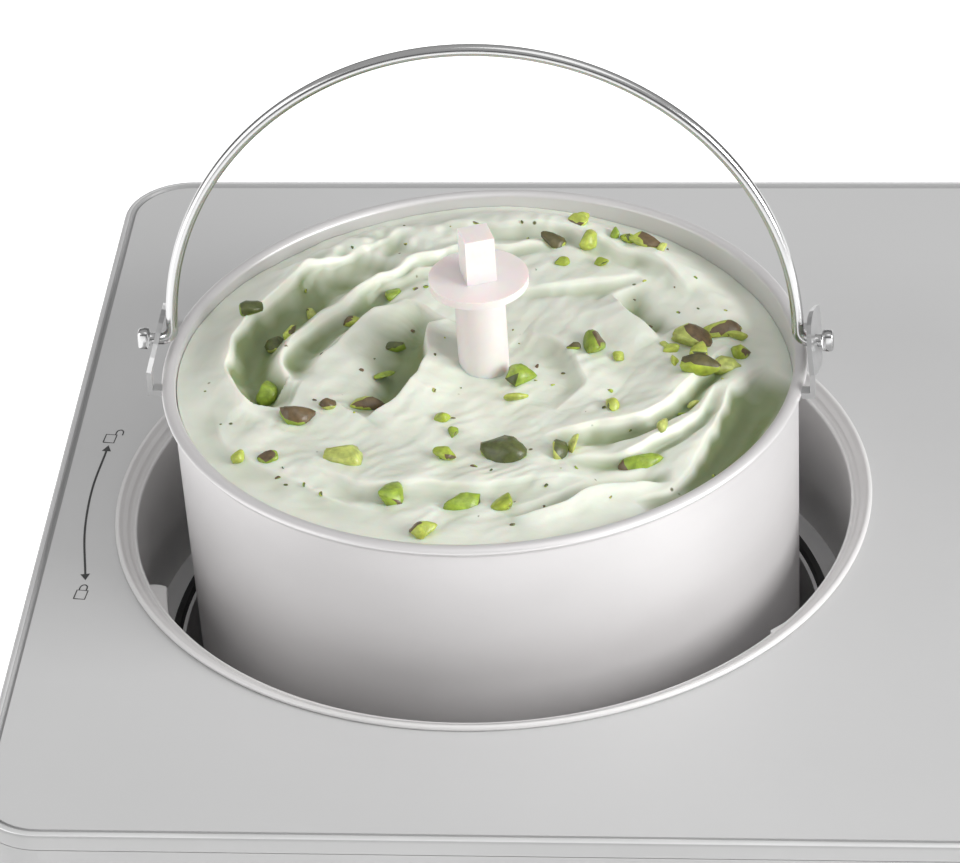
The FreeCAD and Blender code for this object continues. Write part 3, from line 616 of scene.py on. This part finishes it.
# Folds: a crest through (x, y) points round the centre, with its scooped hollow on the right of travel, then
# the crest's height, the widths of its left and right banks, and the hollow's depth and width.
FOLDS = [
    ([(-47, -20), (-57, -17), (-63, -4), (-61, 16), (-47, 38), (-27, 56)], 3.0, 9, 2.4, 5.6, 8.0),
    ([(-50, -8), (-50, 2), (-43, 17), (-32, 32), (-15, 45)], 3.0, 3.6, 1.8, 3.2, 4.4),
    ([(-22, 26), (-31, 19), (-36, 9), (-44, -2)], 2.2, 4.5, 1.6, 1.6, 3.2),
    ([(-10, 20), (-14, 11), (-14, -1), (-17, -12), (-26, -24)], 4.6, 9, 1.4, 5.4, 8.5),
    ([(-42, 22), (-28, 33), (-12, 41), (8, 42)], 1.5, 3.5, 1.4, 1.2, 2.6),
    ([(-36, 30), (-22, 41), (-4, 49), (14, 50)], 1.8, 4.0, 1.4, 1.6, 3.0),
    ([(42, 12), (35, 20), (29, 31)], 2.2, 8, 2.0, 3.0, 5.0),
    ([(16, -31), (33, -26), (45, -16), (54, -2), (59, 12)], 2.8, 9, 1.8, 2.4, 3.6),
    ([(24, -40), (42, -34), (53, -20), (58, -6)], 2.4, 5, 1.6, 2.0, 3.2),
    ([(40, -56), (52, -45), (57, -28), (61, -10), (70, 8)], 2.4, 7, 2.2, 7.5, 8.0),
    ([(52, -54), (62, -42), (68, -26), (72, -8)], 1.5, 3, 1.4, 1.0, 2.0),
    ([(50, -48), (38, -51), (27, -58), (12, -65)], 2.8, 5, 1.6, 2.4, 4.0),
    ([(-42, -44), (-16, -52), (10, -50), (30, -46)], 1.4, 8, 4.0, 1.0, 5.0),
    ([(4, 30), (20, 33), (36, 40)], 1.4, 6, 2.0, 1.0, 3.0),
    ([(-12, 60), (10, 58), (34, 48), (50, 34)], 1.8, 7, 2.5, 1.4, 4.0),
    ([(8, 14), (20, 6), (26, -8), (18, -20)], 1.6, 9, 3.5, 1.2, 5.0),
    ([(-66, -18), (-58, -36), (-40, -52), (-18, -62)], 1.2, 8, 4.0, 0.8, 5.0),
]


def fold_fields(x, y, points, height, left_bank, right_bank, hollow, hollow_width):
    """Crest height and hollow depth of one fold over the plane."""
    line = spline(points)
    nearest = np.full(x.shape, 1e9)
    signed = np.zeros(x.shape)
    along = np.zeros(x.shape)
    for i in range(len(line) - 1):
        start, span = line[i], line[i + 1] - line[i]
        t = np.clip(((x - start[0]) * span[0] + (y - start[1]) * span[1]) / float(span @ span), 0, 1)
        dx, dy = x - start[0] - t * span[0], y - start[1] - t * span[1]
        distance = np.hypot(dx, dy)
        closer = distance < nearest
        nearest = np.where(closer, distance, nearest)
        signed = np.where(closer, np.sign(span[0] * dy - span[1] * dx) * distance, signed)
        along = np.where(closer, (i + t) / (len(line) - 1), along)
    taper = np.clip(np.minimum(along, 1 - along) * 4, 0, 1) ** 0.7
    width = np.where(signed > 0, left_bank, right_bank)
    crest = height * taper * np.exp(-np.abs(signed / width) ** 1.5)
    reach = 0.75 * hollow_width
    scoop = hollow * taper * np.exp(-((signed + reach) / reach) ** 2) * (signed < 0)
    edge = np.clip(-signed / 1.2, 0, 1)
    return crest, scoop * edge


def wavy(x, y, scale, seed):
    """Smooth noise over the plane from a few turned sine waves."""
    generator = np.random.default_rng(seed)
    total = np.zeros(x.shape)
    for octave in range(7):
        angle, phase = generator.uniform(0, math.tau, 2)
        frequency = (1 + 0.45 * octave) / scale
        bent = x * math.cos(angle) + y * math.sin(angle)
        across = -x * math.sin(angle) + y * math.cos(angle)
        wave = math.tau * frequency * bent + phase + 1.7 * np.sin(math.tau * across / scale / 1.9)
        total += np.sin(wave) / (1 + octave)
    return total / 2.6


def cream_surface(x, y):
    """Height of the churned surface above the rim plane and depth of its hollows, in millimetres."""
    radius = np.hypot(x, y)
    angle = np.mod(np.arctan2(y, x), math.tau)
    edge = -np.interp(angle, np.linspace(0, math.tau, 9), EDGE_DEPTH + EDGE_DEPTH[:1])
    inward = np.clip((CREAM_RADIUS - radius) / 15, 0, 1)
    mound = inward * inward * (3 - 2 * inward)
    crown = -0.4 - 3.0 * np.clip((x - 20) / 50, 0, 1) + 0.055 * np.clip(y, 0, 60)
    warp_x = x + 1.8 * wavy(x, y, 34, 5) + 0.22 * wavy(x, y, 12, 15)
    warp_y = y + 1.8 * wavy(x, y, 34, 6) + 0.22 * wavy(x, y, 12, 16)
    crests, hollows = np.zeros(x.shape), np.zeros(x.shape)
    for fold in FOLDS:
        crest, hollow = fold_fields(warp_x, warp_y, *fold)
        crests = np.maximum(crests, crest) + 0.25 * np.minimum(crests, crest)
        hollows = np.maximum(hollows, hollow)
    swirl = warp_x * 0.55 - warp_y * 0.8 + 9 * np.sin(warp_x / 21) + radius * 0.4
    streaks = 0.12 * np.sin(swirl / 0.9 + 3 * wavy(x, y, 24, 9)) * np.clip(wavy(x, y, 22, 11) + 0.3, 0, 1)
    ragged = 2.0 * wavy(x, y, 14, 21) * np.exp(-((x + 38) / 26) ** 2 - ((y - 55) / 20) ** 2)
    lumps = 0.9 * wavy(x, y, 34, 3) + 0.26 * wavy(x, y, 14, 4) + 0.06 * wavy(x, y, 5, 8)
    relief = crests - hollows + streaks + lumps + ragged - 1.0
    surface = edge + (crown - edge) * mound + relief * (0.25 + 0.75 * mound)
    return surface - 0.8 * np.exp(-(radius / 9) ** 2), hollows


def cream_level(x, y):
    """Height of the surface at one place."""
    return float(cream_surface(np.array([float(x)]), np.array([float(y)]))[0][0])


def make_cream():
    """The cream in the bucket: a fine grid of rings on top, closed down the wall and over the floor."""
    rings, spokes = 270, 640
    radii = np.linspace(0, 1, rings + 1)[1:] ** 0.8 * CREAM_RADIUS
    angles = np.arange(spokes) * math.tau / spokes
    grid_r, grid_a = np.meshgrid(radii, angles, indexing="ij")
    x, y = grid_r * np.cos(grid_a), grid_r * np.sin(grid_a)
    z, hollows = cream_surface(x, y)
    soft = z.copy()
    for _ in range(10):
        padded = np.pad(soft, ((2, 2), (0, 0)), mode="edge")
        soft = (np.roll(soft, 4, 1) + np.roll(soft, -4, 1) + padded[:-4] + padded[4:] + soft) / 5
    # Painted shade and highlight: the tone darkens in the hollows and where the surface lies below its
    # smoothed surroundings, and lightens where the surface stands above them.
    tone = np.clip(0.80 - 0.13 * hollows + 0.32 * (z - soft), 0, 1)
    depth = (bucket_high.z - bucket_low.z) / MM
    top = np.stack([x, y, z], -1).reshape(-1, 3)
    skirt = [(73.9, -depth + 12), (67.0, -depth + 2.2), (14.5, -depth + 2.2)]
    lower = [np.stack([r * np.cos(angles), r * np.sin(angles), np.full(spokes, height)], -1)
             for r, height in skirt]
    points = np.concatenate([[[0, 0, cream_level(0, 0)]], top] + lower + [[[0, 0, -depth + 2.2]]])
    points = points * MM + np.array([WELL_X, WELL_Y, RIM_Z])
    faces = []
    for spoke in range(spokes):
        following = (spoke + 1) % spokes
        faces.append((0, 1 + spoke, 1 + following))
        for ring in range(rings + len(skirt) - 1):
            inner, outer = 1 + ring * spokes, 1 + (ring + 1) * spokes
            faces.append((inner + spoke, outer + spoke, outer + following, inner + following))
        last = 1 + (rings + len(skirt) - 1) * spokes
        faces.append((last + spoke, len(points) - 1, last + following))
    cream = mesh_object("churned_ice_cream", points, faces)
    # The "fold" attribute carries this painted shade and highlight to the cream's material.
    fold = cream.data.attributes.new("fold", "FLOAT", "POINT")
    values = np.concatenate([[0.8], tone.reshape(-1), np.full(len(skirt) * spokes + 1, 0.8)])
    fold.data.foreach_set("value", values.astype(np.float32))
    dress(cream, "ice_cream", "bucket", "ice_cream")


# Chopped nuts: x, y round the centre, length, width, height, heading in degrees, and how much skin shows.
NUTS = [
    (-60, 19, 6, 4, 3, 20, 0.7), (-54, 13, 5, 4, 3, 80, 0.9), (-49, 12, 6, 2.6, 2.2, 40, 0.2),
    (-47, 27, 4, 3, 2.5, 10, 0.2), (-35, 21, 6, 3, 2.4, 15, 0.4), (-26, 31, 5, 3, 2.6, 60, 0.1),
    (-24, 12, 7, 2.6, 2.4, 5, 0.5), (-53, -7, 8, 6, 4, 25, 0.0), (-25, -2, 6, 4.5, 4, 70, 0.1),
    (-28, -15, 9, 3.6, 3, 5, 0.5), (-44, -22, 8, 7, 4.5, 40, 1.0), (-37, -19, 4, 3, 2.5, 30, 0.7),
    (-56, -41, 4, 3, 2.4, 60, 0.0), (-49, -42, 4.5, 3.4, 2.6, 15, 0.1), (-30, -41, 9, 7, 4, 10, 0.0),
    (-17, -56, 8, 6, 4, 55, 0.1), (-8, -24, 4, 3.2, 2.6, 30, 0.2), (-5, -30, 3, 2.4, 2, 60, 0.1),
    (-6, -40, 5.5, 4, 2.8, 10, 0.2), (10, -7, 7.5, 6, 4, 35, 0.1), (9.5, -15, 5.5, 2.2, 2, 10, 0.1),
    (8, -40, 11.5, 8, 5, 5, 0.75), (0, -58, 10, 5, 3.6, 10, 0.2), (9, -58, 6, 5, 3.4, 60, 0.1),
    (-8, -70, 7, 5, 3.6, 30, 0.3), (21, -38, 6, 4.5, 3.5, 70, 0.5), (26, -35, 6, 3.4, 4, 85, 0.0),
    (41, -39, 10, 6, 4, 15, 0.1), (27, 7, 8, 6, 4.4, 50, 0.1), (33, 4, 3.4, 2.6, 2, 15, 0.0),
    (33, -19, 6, 3, 2.6, 130, 0.1), (46, -28, 4.5, 3, 2.5, 70, 0.0), (53, -13, 4, 2, 1.6, 40, 0.1),
    (27, 42, 5, 2.4, 2, 160, 0.1), (13, 52, 7, 5, 3, 20, 0.8), (19, 58, 5, 3, 2.4, 150, 0.1),
    (22, 52, 6, 5, 3.4, 40, 0.1), (17, 42, 4, 2.4, 2, 20, 0.2), (29, 54, 4, 3, 2.4, 130, 0.0),
    (37, 51, 9, 3.6, 3, 165, 0.4), (33, 53, 5, 3.4, 3, 20, 0.1), (41, 48, 4, 2.6, 2, 60, 0.0),
    (51, 12, 10, 7, 5, 25, 0.3), (58, 17, 10, 4, 3.4, 20, 0.15), (61, 16, 6, 3, 3, 15, 0.0),
    (62, 9, 6, 4.5, 3.4, 0, 0.1), (59, 2, 7, 6, 4, 40, 0.1), (53, -3, 9, 6, 4, 0, 0.6),
    (46, 8, 4.5, 3, 2.6, 60, 0.0), (47, 2, 4, 3, 2.4, 100, 0.0), (54, 5, 6, 5, 4, 70, 0.1),
    (20, 61, 3.4, 2.2, 2, 10, 0.0), (44, 9, 3.4, 2.2, 2, 140, 0.0), (50, -16, 3, 1.8, 1.4, 20, 0.1),
    (25, 9, 5, 3, 3.4, 100, 0.3), (22, 6, 3, 2.2, 1.8, 0, 0.8),
]
FLESH = [(0.40, 0.50, 0.05), (0.48, 0.56, 0.09), (0.30, 0.42, 0.04), (0.52, 0.58, 0.14)]
SKIN = [(0.11, 0.095, 0.03), (0.15, 0.10, 0.045), (0.10, 0.12, 0.03)]


def nut_chip(bm, layer, dice, place, size, heading, skin):
    """One chopped piece: a hull of scattered points with cut faces of flesh and some faces of skin."""
    chip = bmesh.new()
    for _ in range(12):
        direction = Vector([dice.gauss(0, 1) for _ in range(3)]).normalized()
        spread = dice.uniform(0.85, 1.0)
        chip.verts.new([direction[i] * size[i] / 2 * spread * 1.15 for i in range(3)])
    hull = bmesh.ops.convex_hull(chip, input=chip.verts)
    loose = [v for v in hull["geom_interior"] if isinstance(v, bmesh.types.BMVert)]
    bmesh.ops.delete(chip, geom=loose, context="VERTS")
    bmesh.ops.subdivide_edges(chip, edges=chip.edges[:], cuts=2, use_grid_fill=True)
    for _ in range(2):
        bmesh.ops.smooth_vert(chip, verts=chip.verts[:], factor=0.45,
                              use_axis_x=True, use_axis_y=True, use_axis_z=True)
    chip.normal_update()
    turn = Matrix.Rotation(math.radians(heading), 3, "Z") @ Matrix.Rotation(dice.uniform(-0.3, 0.3), 3, "X")
    flesh, husk = Vector(dice.choice(FLESH)), Vector(dice.choice(SKIN))
    skin_side = Vector((dice.uniform(-1, 1), dice.uniform(-1, 1), 1.6 if skin > 0.6 else 0.4)).normalized()
    made = {}
    for vert in chip.verts:
        crumple = noise.noise(vert.co * 0.8 + place) * 0.14
        made[vert] = bm.verts.new((turn @ (vert.co * (1.12 + crumple)) + place) * MM)
    for face in chip.faces:
        copy = bm.faces.new([made[v] for v in face.verts])
        copy.smooth = True
        husky = face.normal.dot(skin_side) > 1.05 - 1.3 * skin
        tone = (husk if husky else flesh) * dice.uniform(0.9, 1.1)
        for loop in copy.loops:
            loop[layer] = (*tone, 1)
    chip.free()


def make_nuts():
    """Chopped pistachios pressed into the cream."""
    dice = random.Random(7)
    bm = bmesh.new()
    layer = bm.loops.layers.float_color.new("nut")
    centre = Vector((WELL_X, WELL_Y, RIM_Z)) / MM
    for x, y, length, width, height, heading, skin in NUTS:
        place = centre + Vector((x, y, cream_level(x, y) + height * 0.22))
        nut_chip(bm, layer, dice, place, (length * 1.15, width * 1.3, height * 1.35), heading, skin)
    for _ in range(70):
        angle, reach = dice.uniform(0, math.tau), 70 * math.sqrt(dice.uniform(0.02, 1))
        x, y = reach * math.cos(angle), reach * math.sin(angle)
        size = dice.uniform(0.5, 1.3)
        nut_chip(bm, layer, dice, centre + Vector((x, y, cream_level(x, y))), (size * 1.6, size, size * 0.8),
                 dice.uniform(0, 180), dice.uniform(0, 1))
    data = bpy.data.meshes.new("chopped_pistachios")
    bm.to_mesh(data)
    bm.free()
    nuts = new_object("chopped_pistachios", data)
    dress(nuts, "ice_cream", "bucket")
    data.materials[0] = chopped_nut()


# ---------------------------------------------------------------- stage

def make_stage():
    """White floor, soft studio light and a bright, slightly graded surround."""
    half = 9
    corners = [(-half, -half, 0), (half, -half, 0), (half, half, 0), (-half, half, 0)]
    floor = mesh_object("floor", corners, [(0, 1, 2, 3)], smooth=False)
    white = material("white_floor", grey(0.93), 0.6, Emission_Strength=0.75)
    white.node_tree.nodes["Principled BSDF"].inputs["Emission Color"].default_value = (1, 1, 1, 1)
    vary_colour(white, grey(0.92), grey(0.94), 3)
    floor.data.materials.append(white)
    for name, place, size, power, aim in (
            ("key", (1.55, -0.65, 0.85), 1.0, 36, (-0.1, 0, 0.25)),
            ("fill", (-1.75, -0.75, 0.8), 1.6, 15, (-0.1, 0, 0.2)),
            ("top", (0.4, -0.3, 1.9), 1.2, 5, (0, 0, 0.2))):
        data = bpy.data.lights.new(name, "AREA")
        data.size = size
        data.energy = power
        lamp = new_object(name, data)
        lamp.location = place
        lamp.rotation_euler = (Vector(aim) - Vector(place)).to_track_quat("-Z", "Y").to_euler()
    world = bpy.data.worlds.new("surround")
    bpy.context.scene.world = world
    world.use_nodes = True
    tree = world.node_tree
    place = tree.nodes.new("ShaderNodeTexCoord")
    split = tree.nodes.new("ShaderNodeSeparateXYZ")
    grade = tree.nodes.new("ShaderNodeValToRGB")
    stops = grade.color_ramp.elements
    stops[0].position, stops[0].color = 0.0, (0.55, 0.55, 0.56, 1)
    stops[1].position, stops[1].color = 1.0, (0.95, 0.95, 0.95, 1)
    for position, level in ((0.10, 0.30), (0.30, 0.26), (0.48, 0.85)):
        stops.new(position).color = (level, level, level, 1)
    tree.links.new(place.outputs["Generated"], split.inputs["Vector"])
    tree.links.new(split.outputs["Z"], grade.inputs["Fac"])
    tree.links.new(grade.outputs["Color"], tree.nodes["Background"].inputs["Color"])
    tree.nodes["Background"].inputs["Strength"].default_value = 0.56
    bpy.context.scene.view_settings.view_transform = "Standard"


def make_camera():
    """A long lens from the front right, looking down at the bucket, with a slight roll."""
    yaw, pitch, roll = math.radians(7.21), math.radians(34.68), math.radians(-3.84)
    data = bpy.data.cameras.new("camera")
    data.lens, data.sensor_width = 204.1, 36
    camera = new_object("camera", data)
    forward = Vector((-math.sin(yaw) * math.cos(pitch), math.cos(yaw) * math.cos(pitch), -math.sin(pitch)))
    level_right = Vector((math.cos(yaw), math.sin(yaw), 0))
    level_up = level_right.cross(forward)
    right = math.cos(roll) * level_right + math.sin(roll) * level_up
    up = -math.sin(roll) * level_right + math.cos(roll) * level_up
    turn = Matrix((right, up, -forward)).transposed()
    from_well = Vector((137.7, -1105.4, 791.6)) * MM
    place = Vector((WELL_X, WELL_Y, PLATE_Z)) + from_well
    camera.matrix_world = Matrix.Translation(place) @ turn.to_4x4()
    bpy.context.scene.camera = camera


make_trim()
make_collar()
make_lock_mark()
make_bucket()
make_bail()
make_cream()
make_nuts()
for name in ("dasher", "ear_left", "ear_right"):
    bevelled(frame["nodes"][name], 0.25)
make_stage()
make_camera()
